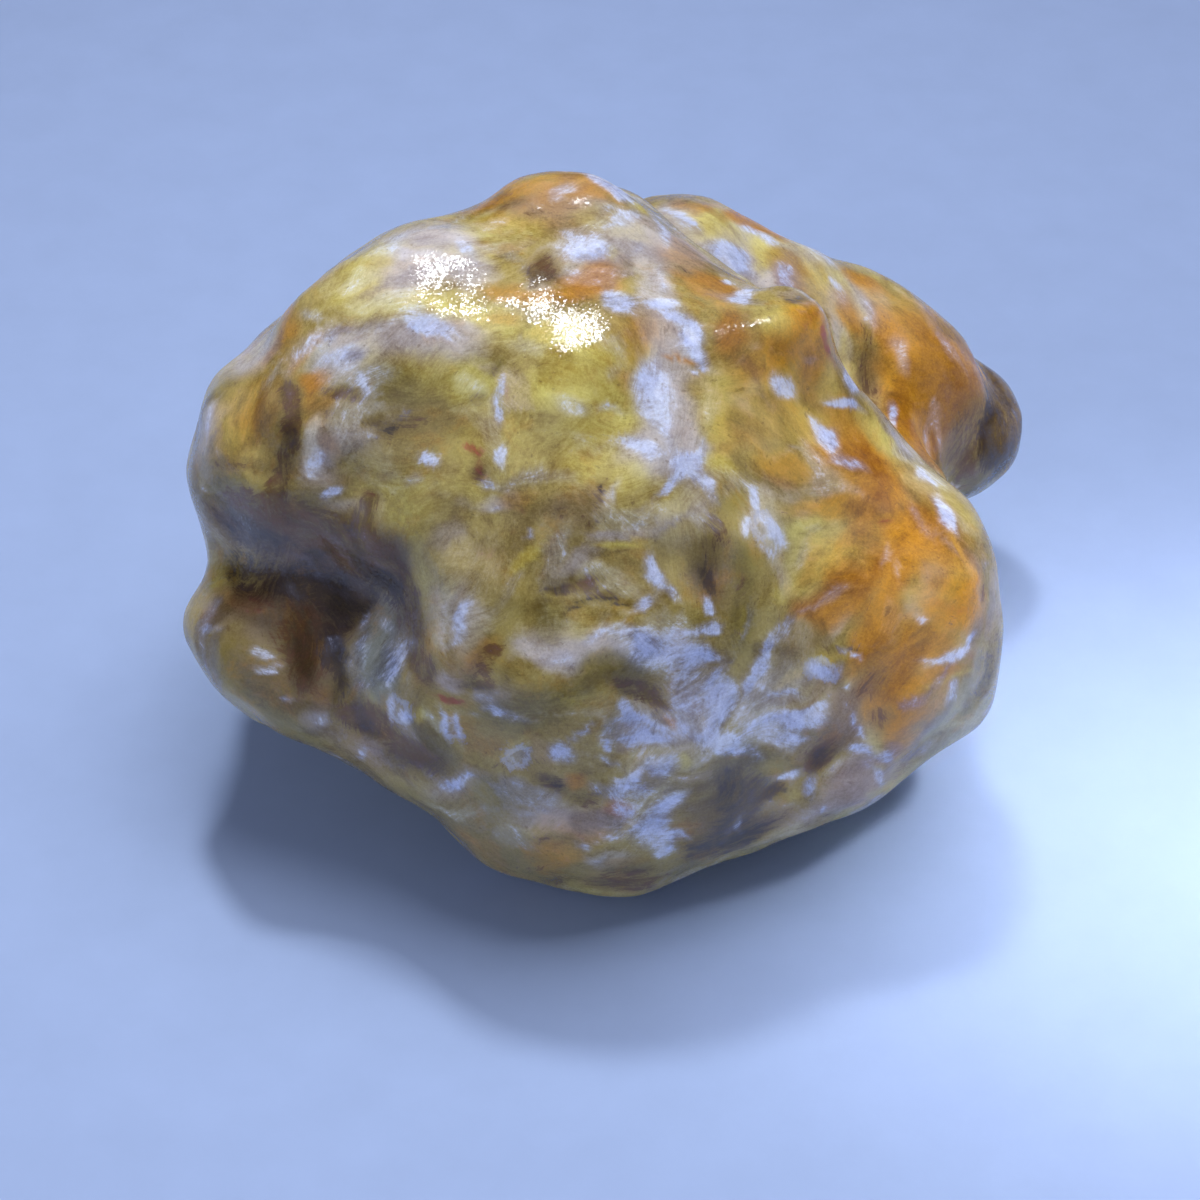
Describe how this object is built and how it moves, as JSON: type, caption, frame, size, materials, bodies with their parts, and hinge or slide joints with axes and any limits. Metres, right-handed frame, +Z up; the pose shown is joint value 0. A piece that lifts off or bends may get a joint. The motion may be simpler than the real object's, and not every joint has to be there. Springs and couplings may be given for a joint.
{
  "type": "botryoidal agate nodule",
  "caption": "Wave-worn nodule of botryoidal agate: a glossy lobed pebble with a broad show face, a knob and a tapering tail.",
  "frame": {"origin": "on the resting flat of the underside, under the middle of the show face", "axes": "+X along the stone's greatest length, towards the tail; +Y away from the show face; +Z up"},
  "size_m": [0.0277, 0.0236, 0.0186],
  "materials": {
    "agate": "wave-worn to a soft gloss, slightly translucent, mustard and amber with white fibrous plumes"
  },
  "bodies": {
    "root": {"agate_nodule": "agate"}
  },
  "joints": []
}
